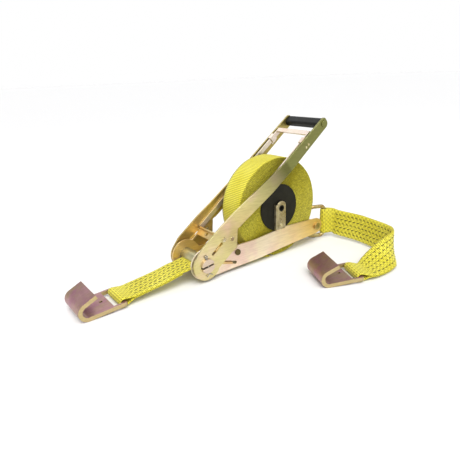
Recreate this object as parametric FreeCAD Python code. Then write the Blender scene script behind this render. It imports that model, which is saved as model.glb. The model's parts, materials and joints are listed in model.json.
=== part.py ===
import FreeCAD, Part
import math
import os
from FreeCAD import Vector

# A 50 mm ratchet tie down with its own storage reel, lying on a floor at Z = 0. While it is built,
# X = 0 and Y = 0 are on the mandrel, +X points to the rear of the frame and -Y is its right side.
# All lengths are in millimetres and all angles in degrees.

# Webbing
WEBBING_WIDTH = 50.0
WEBBING_THICKNESS = 2.3
RUN_GAP = 0.3
SIDE_GAP = 0.3

# Layers across the width, as distances from the middle of the ratchet
FRAME_INNER = 27.8
PLATE = 2.8
FRAME_OUTER = FRAME_INNER + PLATE
WHEEL_INNER = FRAME_OUTER + SIDE_GAP
WHEEL_WIDTH = 3.2
WHEEL_OUTER = WHEEL_INNER + WHEEL_WIDTH
ARM_INNER = WHEEL_OUTER + SIDE_GAP
ARM_PLATE = 3.0
ARM_OUTER = ARM_INNER + ARM_PLATE
ARM_SPREAD = 8.0

# Mandrel and ratchet wheels
MANDREL_Z = 29.5
MANDREL_RADIUS = 12.0
MANDREL_END = ARM_OUTER + 3.8
MANDREL_SLOT = WEBBING_THICKNESS + 1.0
MANDREL_SLOT_ANGLE = 8.5
SHAFT_CLEARANCE = 0.06
TEETH = 12
TOOTH_TIP = 24.0
TOOTH_ROOT = 19.5
TOOTH_FACE_ANGLE = -1.0
SPLIT_PIN_RADIUS = 1.4

# Frame
FRAME_NOSE_RADIUS = 26.0
POST_RIVET_RADIUS = 2.0
REAR_X = 257.0
REAR_Z = 35.2
REAR_RADIUS = 15.0
REAR_BOLT_RADIUS = 4.0
REAR_BUSH_RADIUS = 5.2
SLEEVE_RADIUS = 9.0
SPACER_X = 66.0
SPACER_Z = 33.0
SPACER_RADIUS = 5.0
SPACER_HEAD = 3.0
SPRING_ROD_X = 79.0
SPRING_ROD_Z = 11.0
SPRING_ROD_RADIUS = 3.0

# Storage reel
REEL_X = 164.4
REEL_Z = 90.3
ROLL_RADIUS = 89.8
CORE_RADIUS = 38.0
FLANGE_RADIUS = 41.9
FLANGE_THICKNESS = 2.0
FLANGE_FACE = WEBBING_WIDTH / 2 + RUN_GAP + FLANGE_THICKNESS
TRUNNION_RADIUS = 5.7
TRUNNION_BORE = 4.0
POST_HALF_WIDTH = 10.0
POST_PLATE = 2.5
POST_FOOT_Z = 51.5
POST_RIVET_Z = 58.7

# Pawls, each sliding in its own direction past the mandrel
PAWL_THICKNESS = 3.6
PAWL_TIP = 24.6
PAWL_GAP = 0.8
LOCK_ANGLE = -15.5
LOCK_OFFSET = 3.0
LOCK_BODY = (36.0, 54.0)
LOCK_SLOT = (31.4, 65.5)
DRIVE_OFFSET = 5.2
DRIVE_BODY = (38.0, 52.0)
DRIVE_EAR = (26.0, 36.0)
DRIVE_SLOT = (17.5, 44.0)

# Handle, drawn along its own length with the mandrel at zero
HANDLE_ANGLE = 38.56
CAM_RADIUS = 25.0
ARM_RIVETS = ((49.2, 6.6), (60.2, -5.8))
ARM_RIVET_RADIUS = 2.5
SPREAD_START = 95.0
SPREAD_END = 217.0
GRIP_AT = 322.0
GRIP_HEIGHT = -1.6
GRIP_LENGTHWISE = 17.0
GRIP_DEEP = 13.0
ARM_TIP = GRIP_AT + 8.5
GRIP_ROD_RADIUS = 4.0
PULL_BAR_AT = 289.0
PULL_BAR_WIDTH = 9.0
PULL_BAR_HEIGHT = 7.0
PULL_BAR_THICKNESS = 3.0
PULL_LEG_THICKNESS = 2.5
PULL_LEG_WIDTH = 8.0
PULL_LEG_LOW = ARM_INNER - SIDE_GAP - PULL_LEG_THICKNESS
PULL_LEG_HIGH = 37.0
CLIP_FROM = 264.0
CLIP_TO = 276.0
CLIP_WALL = 1.2
CLIP_RIVETS = ((266.6, -3.6), (273.4, -3.6))
CLIP_RIVET_RADIUS = 1.3
DRIVE_SPRING_HEIGHT = 2.8
DRIVE_TAB_AT = 74.0

# Flat hooks, drawn with the bend at zero and the leg along +X, and the webbing eyes on their bars
HOOK_PLATE = 6.0
HOOK_HALF_WIDTH = 30.0
HOOK_LENGTH = 72.5
HOOK_BEND_RADIUS = 14.0
HOOK_LIP_ANGLE = 21.0
HOOK_LIP_LENGTH = 21.4
HOOK_SLOT = (52.0, 64.0)
HOOK_SLOT_HALF_LENGTH = 25.9
HOOK_BAR_AT = 0.5 * (HOOK_SLOT[1] + HOOK_LENGTH)
HOOK_HOLE_AT = 42.0
HOOK_HOLE_RADIUS = 2.5
EYE_INNER = 4.9
EYE_OUTER = EYE_INNER + WEBBING_THICKNESS
EYE_LENGTH = 17.0
LEFT_BAR_X = -139.2
RIGHT_BAR_X = 195.2
RIGHT_BAR_Y = -172.1
RIGHT_HOOK_YAW = -24.8

# D-ring, standing on the floor round the rear bolt and turned towards the right hook
RING_ROD = 3.75
RING_HALF_HEIGHT = 30.0
RING_CORNER = 8.0
RING_YAW = -21.0
RING_BAR_AT = 41.5
RING_SEAT = 8.0
RING_Z = RING_HALF_HEIGHT + RING_ROD + 0.2
RING_EYE_INNER = 5.6
RING_EYE_YAW = -37.0

# Fixed strap: places on its middle line, with its lean away from upright
FIXED_STRAP_STATIONS = (
    (Vector(309.5, -34.0, 32.0), -4.0),
    (Vector(319.5, -81.0, 29.4), -9.0),
    (Vector(318.5, -120.5, 27.4), -11.0),
    (Vector(311.0, -155.0, 27.2), -8.0),
    (Vector(295.5, -173.0, 27.0), 5.0),
    (Vector(273.0, -182.0, 23.6), 28.0),
    (Vector(254.0, -182.5, 17.0), 57.0),
    (Vector(232.0, -181.0, 9.6), 78.0),
)

UP = Vector(0, 0, 1)
ACROSS = Vector(0, 1, 0)


def rounded_wire(corners, place):
    """Closed wire through (u, v, radius) corners, each rounded by its radius, set in space by place."""
    edges = []
    ends = []
    count = len(corners)
    for i, (u, v, radius) in enumerate(corners):
        corner = Vector(u, v, 0)
        before = (Vector(*corners[i - 1][:2], 0) - corner).normalize()
        after = (Vector(*corners[(i + 1) % count][:2], 0) - corner).normalize()
        half = before.getAngle(after) / 2
        if radius == 0:
            ends.append((corner, None, corner))
            continue
        reach = radius / math.tan(half)
        middle = (before + after).normalize()
        centre = corner + middle * (radius / math.sin(half))
        ends.append((corner + before * reach, centre - middle * radius, corner + after * reach))
    for i, (start, bulge, end) in enumerate(ends):
        if bulge is not None:
            edges.append(Part.Arc(place(start), place(bulge), place(end)).toShape())
        following = ends[(i + 1) % count][0]
        if (following - end).Length > 1e-6:
            edges.append(Part.LineSegment(place(end), place(following)).toShape())
    return Part.Wire(edges)


def side_plate(corners, y_from, y_to):
    """Plate cut to an outline of (x, z, radius) corners, from one Y to another."""
    wire = rounded_wire(corners, lambda p: Vector(p.x, y_from, p.y))
    return Part.Face(wire).extrude(Vector(0, y_to - y_from, 0))


def flat_plate(corners, z_from, z_to):
    """Plate cut to an outline of (x, y, radius) corners, from one Z to another."""
    wire = rounded_wire(corners, lambda p: Vector(p.x, p.y, z_from))
    return Part.Face(wire).extrude(Vector(0, 0, z_to - z_from))


def across(x, z, radius, y_from, y_to):
    """Round bar lying across the ratchet."""
    return Part.makeCylinder(radius, y_to - y_from, Vector(x, y_from, z), ACROSS)


def box(x_range, y_range, z_range):
    corner = Vector(x_range[0], y_range[0], z_range[0])
    size = [high - low for low, high in (x_range, y_range, z_range)]
    return Part.makeBox(*size, corner)


def slot_cutter(along, height, half_width, y_from, y_to):
    """Round-ended slot from along[0] to along[1], cut across the ratchet."""
    low, high = height - half_width, height + half_width
    corners = [(along[0], low), (along[1], low), (along[1], high), (along[0], high)]
    return side_plate([(x, z, 0.98 * half_width) for x, z in corners], y_from, y_to)


def mirrored(shape):
    """The same piece on the other side of the ratchet."""
    return shape.mirror(Vector(0, 0, 0), ACROSS)


def in_direction(shape, angle):
    """Turn a piece drawn along +X about the mandrel, so that it points up at an angle."""
    turned = shape.copy()
    turned.rotate(Vector(0, 0, 0), ACROSS, -angle)
    turned.translate(Vector(0, 0, MANDREL_Z))
    return turned


def coil(radius, wire_radius, length, turns, start, direction):
    """Compression spring from start along direction."""
    path = Part.makeHelix(length / turns, length, radius)
    section = Part.Wire(Part.makeCircle(wire_radius, Vector(radius, 0, 0), ACROSS))
    spring = Part.Wire(path).makePipeShell([section], True, True)
    spring.Placement = FreeCAD.Placement(start, FreeCAD.Rotation(UP, direction))
    return spring


def rivet(x, z, radius, y_inner, y_face):
    """Rivet flush inside and domed outside the face at y_face, on the right side."""
    shank = across(x, z, radius, y_face, y_inner)
    dome_height = 0.45 * radius
    head = across(x, z, 1.7 * radius, y_face - dome_height, y_face)
    head = head.makeFillet(0.8 * dome_height, [head.Edges[2]])
    return shank.fuse(head).removeSplitter()


# Frame

def frame_plate():
    """Right side plate: round nose, slot for the locking pawl, ear for the reel post."""
    nose = FRAME_NOSE_RADIUS
    ear_left = REEL_X - POST_HALF_WIDTH + 0.3
    ear_right = REEL_X + POST_HALF_WIDTH - 0.3
    outline = [
        (nose * math.cos(math.radians(-80)), MANDREL_Z + nose * math.sin(math.radians(-80)), 0),
        (60, 6.6, 60),
        (112, 8.0, 90),
        (172, 13.9, 60),
        (REAR_X, REAR_Z - REAR_RADIUS, 0),
        (REAR_X, REAR_Z + REAR_RADIUS, 0),
        (ear_right, 53.2, 5),
        (ear_right, 66, 5),
        (ear_left, 66, 5),
        (ear_left, 50.3, 1),
        (104, 45.2, 40),
        (68, 45.2, 4),
        (61, 37.0, 4),
        (28, 37.0, 4),
        (nose * math.cos(math.radians(62)), MANDREL_Z + nose * math.sin(math.radians(62)), 0),
    ]
    plate = side_plate(outline, -FRAME_OUTER, -FRAME_INNER)
    plate = plate.fuse(across(0, MANDREL_Z, nose, -FRAME_OUTER, -FRAME_INNER))
    plate = plate.fuse(across(REAR_X, REAR_Z, REAR_RADIUS, -FRAME_OUTER, -FRAME_INNER)).removeSplitter()
    far, near = -FRAME_OUTER - 1, -FRAME_INNER + 1
    lock_slot = slot_cutter(LOCK_SLOT, LOCK_OFFSET, PAWL_THICKNESS / 2 + PAWL_GAP, far, near)
    cutters = [
        across(0, MANDREL_Z, MANDREL_RADIUS + SHAFT_CLEARANCE, far, near),
        across(REAR_X, REAR_Z, REAR_BOLT_RADIUS, far, near),
        across(SPACER_X, SPACER_Z, SPACER_RADIUS - 2, far, near),
        across(SPRING_ROD_X, SPRING_ROD_Z, SPRING_ROD_RADIUS - 1, far, near),
        across(REEL_X, POST_RIVET_Z, POST_RIVET_RADIUS, far, near),
        in_direction(lock_slot, LOCK_ANGLE),
    ]
    return plate.cut(cutters)


def reel_post():
    """Right post: strip with a round top that holds the reel, stiffened by a folded edge."""
    left, right = REEL_X - POST_HALF_WIDTH, REEL_X + POST_HALF_WIDTH
    outer = -FRAME_OUTER - POST_PLATE
    top = REEL_Z + 13
    outline = [
        (left, POST_FOOT_Z, 3),
        (right, POST_FOOT_Z, 3),
        (right, top, 0.97 * POST_HALF_WIDTH),
        (left, top, 0.97 * POST_HALF_WIDTH),
    ]
    strip = side_plate(outline, outer, -FRAME_OUTER)
    fold = box((left - POST_PLATE, left), (outer, -FLANGE_FACE - 0.7), (POST_FOOT_Z, REEL_Z + 7))
    post = strip.fuse(fold)
    hole = across(REEL_X, REEL_Z, TRUNNION_RADIUS + SHAFT_CLEARANCE, outer - 1, -FRAME_OUTER + 1)
    rivet_hole = across(REEL_X, POST_RIVET_Z, POST_RIVET_RADIUS, outer - 1, -FRAME_OUTER + 1)
    return post.cut([hole, rivet_hole]).removeSplitter()


def frame_spacer():
    """Tube that holds the two plates apart, with ends riveted over outside them."""
    tube = across(SPACER_X, SPACER_Z, SPACER_RADIUS, -FRAME_INNER, FRAME_INNER)
    spigot = across(SPACER_X, SPACER_Z, SPACER_RADIUS - 2, -FRAME_OUTER, FRAME_OUTER)
    head = across(SPACER_X, SPACER_Z, SPACER_RADIUS + 0.3, -FRAME_OUTER - SPACER_HEAD, -FRAME_OUTER)
    rim = [e for e in head.Edges if e.Length > 1 and abs(e.CenterOfMass.y - head.BoundBox.YMin) < 0.01]
    head = head.makeFillet(1.2, rim)
    return tube.fuse([spigot, head, mirrored(head)]).removeSplitter()


def lock_spring_rod():
    """Cross rod that the locking pawl's springs push against."""
    rod = across(SPRING_ROD_X, SPRING_ROD_Z, SPRING_ROD_RADIUS, -FRAME_INNER, FRAME_INNER)
    spigot = across(SPRING_ROD_X, SPRING_ROD_Z, SPRING_ROD_RADIUS - 1, -FRAME_OUTER, FRAME_OUTER)
    return rod.fuse(spigot).removeSplitter()


def hexagon(radius, y_from, y_to):
    corners = [(60 * i + 30) for i in range(6)]
    outline = [
        (REAR_X + radius * math.cos(math.radians(a)), REAR_Z + radius * math.sin(math.radians(a)), 0)
        for a in corners
    ]
    return side_plate(outline, y_from, y_to)


def rear_bolt():
    shank = across(REAR_X, REAR_Z, REAR_BOLT_RADIUS, -FRAME_OUTER, FRAME_OUTER + 6.5)
    head = hexagon(7.5, -FRAME_OUTER - 4.2, -FRAME_OUTER)
    return shank.fuse(head).removeSplitter()


def rear_nut():
    nut = hexagon(7.5, FRAME_OUTER, FRAME_OUTER + 5.5)
    return nut.cut(across(REAR_X, REAR_Z, REAR_BOLT_RADIUS, FRAME_OUTER - 1, FRAME_OUTER + 7))


def bolt_sleeve(radius, y_from, y_to):
    """Sleeve on the rear bolt."""
    sleeve = across(REAR_X, REAR_Z, radius, y_from, y_to)
    return sleeve.cut(across(REAR_X, REAR_Z, REAR_BOLT_RADIUS, y_from - 1, y_to + 1))


# Mandrel

def mandrel_half(upper):
    """One half-round shaft on one side of the webbing slot."""
    shaft = across(0, 0, MANDREL_RADIUS, -MANDREL_END, MANDREL_END)
    low, high = (MANDREL_SLOT / 2, MANDREL_RADIUS) if upper else (-MANDREL_RADIUS, -MANDREL_SLOT / 2)
    reach = MANDREL_RADIUS + 1
    half = shaft.common(box((-reach, reach), (-MANDREL_END, MANDREL_END), (low, high)))
    edges = [e for e in half.Edges if abs(e.Length - 2 * MANDREL_END) < 0.01]
    half = half.makeFillet(0.9, edges)
    for side in (-1, 1):
        y = side * (MANDREL_END - 1.9)
        pin_hole = Part.makeCylinder(SPLIT_PIN_RADIUS, 40, Vector(0, y, -20), UP)
        half = half.cut(pin_hole)
    return in_direction(half, MANDREL_SLOT_ANGLE)


def ratchet_wheel():
    """Right toothed wheel: each tooth has a radial face and a sloping back."""
    pitch = 360 / TEETH
    profile = ((TOOTH_ROOT, 0), (TOOTH_TIP, 0), (TOOTH_TIP, 5), (TOOTH_ROOT, 9))
    outline = []
    for tooth in range(TEETH):
        for radius, step in profile:
            angle = math.radians(TOOTH_FACE_ANGLE + tooth * pitch + step)
            outline.append((radius * math.cos(angle), MANDREL_Z + radius * math.sin(angle), 0))
    wheel = side_plate(outline, -WHEEL_OUTER, -WHEEL_INNER)
    return wheel.cut(across(0, MANDREL_Z, MANDREL_RADIUS, -WHEEL_OUTER - 1, -WHEEL_INNER + 1))


def split_pin():
    """Right split pin through both half shafts, its two legs bent apart."""
    y = -MANDREL_END + 1.9
    reach = MANDREL_RADIUS + 2.5
    radius = SPLIT_PIN_RADIUS - 0.05
    body = Part.makeCylinder(radius, 2 * reach, Vector(0, y, -reach), UP)
    eye = Part.makeTorus(1.5 * radius, 0.6 * radius, Vector(0, y, reach + 1.2 * radius), ACROSS)
    legs = []
    for side in (-1, 1):
        bend = Vector(side * 0.8, 0, -0.6)
        legs.append(Part.makeCylinder(0.55 * radius, 7, Vector(0, y, -reach + 0.6), bend))
    pin = body.fuse([eye] + legs).removeSplitter()
    return in_direction(pin, MANDREL_SLOT_ANGLE)


def webbing_in_mandrel():
    """The length of webbing inside the slot, which turns with the mandrel."""
    half = WEBBING_THICKNESS / 2
    reach = MANDREL_RADIUS - 0.4
    strip = box((-reach, reach), (-WEBBING_WIDTH / 2, WEBBING_WIDTH / 2), (-half, half))
    return in_direction(strip, MANDREL_SLOT_ANGLE)


# Pawls

def pawl(body, ears):
    """Cross plate with two fingers that reach the wheels; ears add blocks at its ends."""
    half = PAWL_THICKNESS / 2
    outer = WHEEL_OUTER - 0.2
    plate = box(body, (-outer, outer), (-half, half))
    pieces = []
    for side in (-1, 1):
        y_range = sorted((side * (WHEEL_INNER + 0.1), side * outer))
        pieces.append(box((PAWL_TIP, body[0] + 1), y_range, (-half, half)))
        if ears:
            ear_range = sorted((side * (WHEEL_INNER + 0.1), side * (ARM_OUTER + 0.5)))
            pieces.append(box(ears, ear_range, (-half, half)))
    return plate.fuse(pieces).removeSplitter()


def lock_pawl():
    shape = pawl(LOCK_BODY, None)
    shape.translate(Vector(0, 0, LOCK_OFFSET))
    return in_direction(shape, LOCK_ANGLE)


def drive_pawl():
    """Pawl plate with a stiffening flange along its upper edge and a hole in the middle."""
    shape = pawl(DRIVE_BODY, DRIVE_EAR)
    half = PAWL_THICKNESS / 2
    flange_y = WHEEL_OUTER - 0.2 - 3
    flange = box((DRIVE_BODY[1] - 2.5, DRIVE_BODY[1]), (-flange_y, flange_y), (half, half + 5))
    hole = Part.makeCylinder(3.0, 20, Vector(45, 8, -10), UP)
    shape = shape.fuse(flange).cut(hole).removeSplitter()
    shape.translate(Vector(0, 0, DRIVE_OFFSET))
    return in_direction(shape, HANDLE_ANGLE)


def lock_springs():
    """Two coils from the back of the locking pawl to the cross rod."""
    direction = Vector(math.cos(math.radians(LOCK_ANGLE)), 0, math.sin(math.radians(LOCK_ANGLE)))
    normal = Vector(-direction.z, 0, direction.x)
    mandrel = Vector(0, 0, MANDREL_Z)
    foot = mandrel + direction * (LOCK_BODY[1] + 0.7) + normal * (LOCK_OFFSET - 0.6)
    length = SPRING_ROD_X / direction.x - LOCK_BODY[1] - 7.4
    coils = [coil(2.0, 0.45, length, 7, foot + Vector(0, y, 0), direction) for y in (-14, 14)]
    return Part.makeCompound(coils)


def drive_springs():
    """Two thin coils from the back of the drive pawl to the tabs on the arms."""
    direction = Vector(math.cos(math.radians(HANDLE_ANGLE)), 0, math.sin(math.radians(HANDLE_ANGLE)))
    normal = Vector(-direction.z, 0, direction.x)
    start = DRIVE_BODY[1] + 0.6
    foot = Vector(0, 0, MANDREL_Z) + direction * start + normal * DRIVE_SPRING_HEIGHT
    length = DRIVE_TAB_AT - start - 0.6
    middle = (WHEEL_INNER + WHEEL_OUTER) / 2
    coils = [coil(1.0, 0.3, length, 9, foot + Vector(0, y, 0), direction) for y in (-middle, middle)]
    return Part.makeCompound(coils)


# Handle

def bent_sheet(low, high, start, end, thickness, length_from, length_to, height):
    """Block of sheet on the right side, at depth low up to start and at depth high beyond end."""
    outline = [
        Vector(length_from, -low, 0),
        Vector(start, -low, 0),
        Vector(end, -high, 0),
        Vector(length_to, -high, 0),
        Vector(length_to, -high - thickness, 0),
        Vector(end, -high - thickness, 0),
        Vector(start, -low - thickness, 0),
        Vector(length_from, -low - thickness, 0),
    ]
    face = Part.Face(Part.makePolygon(outline + outline[:1]))
    face.translate(Vector(0, 0, -height))
    return face.extrude(Vector(0, 0, 2 * height))


def handle_arm():
    """Right arm: cam and wing round the mandrel, then a tapering cranked bar up to the grip."""
    cam = CAM_RADIUS
    outline = [
        (cam * math.cos(math.radians(105)), cam * math.sin(math.radians(105)), 0),
        (12, 28.5, 14),
        (62, 27.0, 60),
        (205, 12.0, 90),
        (ARM_TIP, 7.6, 6),
        (ARM_TIP, -10.8, 8),
        (165, -9.9, 90),
        (86, -3.4, 3),
        (79, -1.5, 3),
        (64, -17.5, 3),
        (56, -25.0, 3),
        (46, -23.5, 6),
        (cam * math.cos(math.radians(-62)), cam * math.sin(math.radians(-62)), 0),
    ]
    reach = ARM_OUTER + ARM_SPREAD + 2
    flat = side_plate(outline, -reach, -ARM_INNER + 2)
    flat = flat.fuse(across(0, 0, cam, -reach, -ARM_INNER + 2)).removeSplitter()
    sheet = bent_sheet(
        ARM_INNER, ARM_INNER + ARM_SPREAD, SPREAD_START, SPREAD_END, ARM_PLATE, -40, ARM_TIP + 10, 60
    )
    arm = flat.common(sheet)
    far, near = -ARM_OUTER - 1, -ARM_INNER + 1
    ear_slot = slot_cutter(DRIVE_SLOT, DRIVE_OFFSET, PAWL_THICKNESS / 2 + PAWL_GAP, far, near)
    cutters = [
        across(0, 0, MANDREL_RADIUS + SHAFT_CLEARANCE, far, near),
        across(GRIP_AT, GRIP_HEIGHT, GRIP_ROD_RADIUS, -reach, -ARM_INNER),
        ear_slot.cut(across(0, 0, MANDREL_RADIUS + 2.5, far - 1, near + 1)),
    ]
    cutters += [across(x, z, ARM_RIVET_RADIUS, far, near) for x, z in ARM_RIVETS]
    cutters += [across(x, z, CLIP_RIVET_RADIUS, -reach, -ARM_INNER) for x, z in CLIP_RIVETS]
    arm = arm.cut(cutters)
    tab = box(
        (DRIVE_TAB_AT, DRIVE_TAB_AT + 2),
        (-ARM_INNER, -WHEEL_INNER - 0.2),
        (DRIVE_SPRING_HEIGHT - 2.4, DRIVE_SPRING_HEIGHT + 1.4),
    )
    return in_direction(arm.fuse(tab).removeSplitter(), HANDLE_ANGLE)


def arm_rivets():
    """The two domed rivets in the right arm's cam plate."""
    rivets = [rivet(x, z, ARM_RIVET_RADIUS, -ARM_INNER, -ARM_OUTER) for x, z in ARM_RIVETS]
    return in_direction(Part.makeCompound(rivets), HANDLE_ANGLE)


def clip_rivets():
    """The two small rivets that hold the guide clip's foot on the right arm."""
    foot = -ARM_INNER - ARM_SPREAD + CLIP_WALL
    face = -ARM_OUTER - ARM_SPREAD
    rivets = [rivet(x, z, CLIP_RIVET_RADIUS, foot, face) for x, z in CLIP_RIVETS]
    return in_direction(Part.makeCompound(rivets), HANDLE_ANGLE)


def pull_leg():
    """Right leg of the pull bar, following the inside of the arm down to the drive pawl."""
    half = PULL_LEG_WIDTH / 2
    start = DRIVE_BODY[1]
    end = PULL_BAR_AT + PULL_BAR_WIDTH / 2
    top = PULL_BAR_HEIGHT + PULL_BAR_THICKNESS / 2
    outline = [
        (start, DRIVE_OFFSET - 0.5, 0),
        (end, top - 2 * half, 3),
        (end, top, 3),
        (start, DRIVE_OFFSET + 2 * half - 0.5, 0),
    ]
    flat = side_plate(outline, -PULL_LEG_HIGH - 10, -PULL_LEG_LOW + 5)
    sheet = bent_sheet(
        PULL_LEG_LOW,
        PULL_LEG_HIGH,
        SPREAD_START,
        SPREAD_END,
        PULL_LEG_THICKNESS,
        0,
        end + 10,
        60,
    )
    return flat.common(sheet)


def pull_bar():
    """Release bar: a cross strip under the grip and two long legs."""
    leg = pull_leg()
    reach = PULL_LEG_HIGH + PULL_LEG_THICKNESS
    half = PULL_BAR_WIDTH / 2
    strip = box(
        (PULL_BAR_AT - half, PULL_BAR_AT + half),
        (-reach, reach),
        (PULL_BAR_HEIGHT - PULL_BAR_THICKNESS / 2, PULL_BAR_HEIGHT + PULL_BAR_THICKNESS / 2),
    )
    return in_direction(strip.fuse([leg, mirrored(leg)]).removeSplitter(), HANDLE_ANGLE)


def guide_clip():
    """Right staple on the inside of the arm that keeps the pull leg beside it, with a riveted foot."""
    top = PULL_BAR_HEIGHT + PULL_BAR_THICKNESS / 2
    low, high = top - PULL_LEG_WIDTH + 0.1, top + 0.9
    inner = PULL_LEG_HIGH - 0.5
    outer = ARM_INNER + ARM_SPREAD
    foot_reach = 6.8
    staple = box((CLIP_FROM, CLIP_TO), (-outer, -inner + CLIP_WALL), (low - CLIP_WALL, high + CLIP_WALL))
    channel = box((CLIP_FROM - 1, CLIP_TO + 1), (-outer - 1, -inner), (low, high))
    foot = box((CLIP_FROM, CLIP_TO), (-outer, -outer + CLIP_WALL), (low - foot_reach, low))
    holes = [across(x, z, CLIP_RIVET_RADIUS, -outer - 1, -inner) for x, z in CLIP_RIVETS]
    clip = staple.cut(channel).fuse(foot).cut(holes).removeSplitter()
    return in_direction(clip, HANDLE_ANGLE)


def grip_sleeve():
    """Black sleeve between the arm tips, with a rounded rectangular section."""
    half_length, half_deep = GRIP_LENGTHWISE / 2, GRIP_DEEP / 2
    reach = ARM_INNER + ARM_SPREAD - 0.2
    corners = [(-half_length, -half_deep), (half_length, -half_deep)]
    corners += [(half_length, half_deep), (-half_length, half_deep)]
    sleeve = side_plate([(GRIP_AT + u, GRIP_HEIGHT + v, 4.0) for u, v in corners], -reach, reach)
    sleeve = sleeve.cut(across(GRIP_AT, GRIP_HEIGHT, GRIP_ROD_RADIUS, -reach - 1, reach + 1))
    return in_direction(sleeve, HANDLE_ANGLE)


def grip_rod():
    """Steel rod through the grip, riveted over outside both arms."""
    reach = ARM_OUTER + ARM_SPREAD
    rod = across(GRIP_AT, GRIP_HEIGHT, GRIP_ROD_RADIUS, -reach, reach)
    head = across(GRIP_AT, GRIP_HEIGHT, GRIP_ROD_RADIUS + 1.6, -reach - 1.6, -reach)
    return in_direction(rod.fuse([head, mirrored(head)]).removeSplitter(), HANDLE_ANGLE)


# Reel

def reel_hub():
    """Spool that the webbing is wound on, with the bore that runs through the whole reel."""
    half = WEBBING_WIDTH / 2 + RUN_GAP
    hub = across(REEL_X, REEL_Z, CORE_RADIUS - RUN_GAP, -half, half)
    return hub.cut(across(REEL_X, REEL_Z, TRUNNION_BORE, -half - 1, half + 1))


def reel_flange():
    """Right disc with the hollow trunnion that turns in the post."""
    inner = -WEBBING_WIDTH / 2 - RUN_GAP
    disc = across(REEL_X, REEL_Z, FLANGE_RADIUS, inner - FLANGE_THICKNESS, inner)
    rim = [e for e in disc.Edges if e.Length > 1 and abs(e.CenterOfMass.y - disc.BoundBox.YMin) < 0.01]
    disc = disc.makeFillet(0.7, rim)
    trunnion = across(REEL_X, REEL_Z, TRUNNION_RADIUS, -FRAME_OUTER - POST_PLATE - 0.5, inner)
    collar = across(REEL_X, REEL_Z, TRUNNION_RADIUS + 3.5, -FRAME_OUTER + 0.3, inner)
    flange = disc.fuse([trunnion, collar])
    bore = across(REEL_X, REEL_Z, TRUNNION_BORE, -FRAME_OUTER - POST_PLATE - 2, inner + 1)
    return flange.cut(bore).removeSplitter()


def wound_webbing():
    half = WEBBING_WIDTH / 2
    roll = across(REEL_X, REEL_Z, ROLL_RADIUS, -half, half)
    return roll.cut(across(REEL_X, REEL_Z, CORE_RADIUS, -half - 1, half + 1))


# Webbing

def teardrop(radius, length, half_end):
    """Outline in X and Y of a loop about zero that closes to a strap of half_end at +X."""
    span = math.hypot(length, half_end)
    angle = math.atan2(half_end, length) + math.acos(radius / span)
    touch = Vector(radius * math.cos(angle), radius * math.sin(angle), 0)
    low = Vector(touch.x, -touch.y, 0)
    points = [Vector(length, half_end, 0), touch, low, Vector(length, -half_end, 0)]
    edges = [
        Part.LineSegment(points[0], points[1]).toShape(),
        Part.Arc(points[1], Vector(-radius, 0, 0), points[2]).toShape(),
        Part.LineSegment(points[2], points[3]).toShape(),
        Part.LineSegment(points[3], points[0]).toShape(),
    ]
    return Part.Face(Part.Wire(edges))


def sewn_eye(inner_radius, length):
    """Webbing folded round a bar that lies along Z at zero, and sewn to itself at +X."""
    outer = teardrop(inner_radius + WEBBING_THICKNESS, length, WEBBING_THICKNESS)
    hollow = teardrop(inner_radius, length - 8, 0.05)
    eye = outer.cut(hollow).extrude(Vector(0, 0, WEBBING_WIDTH))
    eye.translate(Vector(0, 0, -WEBBING_WIDTH / 2))
    return eye


def placed(shape, origin, x_axis, z_axis):
    """The piece with its own zero moved to origin and its own X and Z axes turned to two directions."""
    rotation = FreeCAD.Rotation(x_axis, z_axis.cross(x_axis), z_axis, "ZXY")
    moved = shape.copy()
    moved.Placement = FreeCAD.Placement(origin, rotation).multiply(moved.Placement)
    return moved


def left_hook_bar():
    """Middle of the left hook's cross bar."""
    return Vector(LEFT_BAR_X, 0, EYE_OUTER)


def free_strap_line():
    """Two ends of the straight run from the left hook's eye to the mandrel slot."""
    bar = left_hook_bar()
    slot = Vector(0, 0, MANDREL_Z)
    direction = (slot - bar).normalize()
    return bar, direction, (slot - bar).Length


def free_strap_eye():
    bar, direction, _ = free_strap_line()
    return placed(sewn_eye(EYE_INNER, EYE_LENGTH), bar, direction, ACROSS * -1)


def free_strap():
    """Run to the mandrel: two plies where it is sewn, then one."""
    bar, direction, length = free_strap_line()
    sewn_end = length - 38
    end = length - MANDREL_RADIUS - 0.4
    half = WEBBING_WIDTH / 2
    single = WEBBING_THICKNESS / 2
    sewn = box((EYE_LENGTH, sewn_end), (-half, half), (-WEBBING_THICKNESS, WEBBING_THICKNESS))
    plain = box((sewn_end - 1, end), (-half, half), (-single, single))
    return placed(sewn.fuse(plain).removeSplitter(), bar, direction, direction.cross(ACROSS))


def feed_run():
    """Straight run from the mandrel slot down to where the webbing leaves the roll."""
    slope = math.radians(MANDREL_SLOT_ANGLE)
    start = Vector(MANDREL_RADIUS * math.cos(slope) + 0.6, 0, MANDREL_Z + MANDREL_RADIUS * math.sin(slope))
    reach = ROLL_RADIUS + WEBBING_THICKNESS / 2 + RUN_GAP
    to_reel = Vector(REEL_X, 0, REEL_Z) - start
    fall = math.asin(reach / to_reel.Length) - math.atan2(to_reel.z, to_reel.x)
    length = math.sqrt(to_reel.Length ** 2 - reach ** 2)
    half = WEBBING_WIDTH / 2
    flat = WEBBING_THICKNESS / 2
    run = box((0, length), (-half, half), (-flat, flat))
    direction = Vector(math.cos(fall), 0, -math.sin(fall))
    return placed(run, start, direction, direction.cross(ACROSS))


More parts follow.
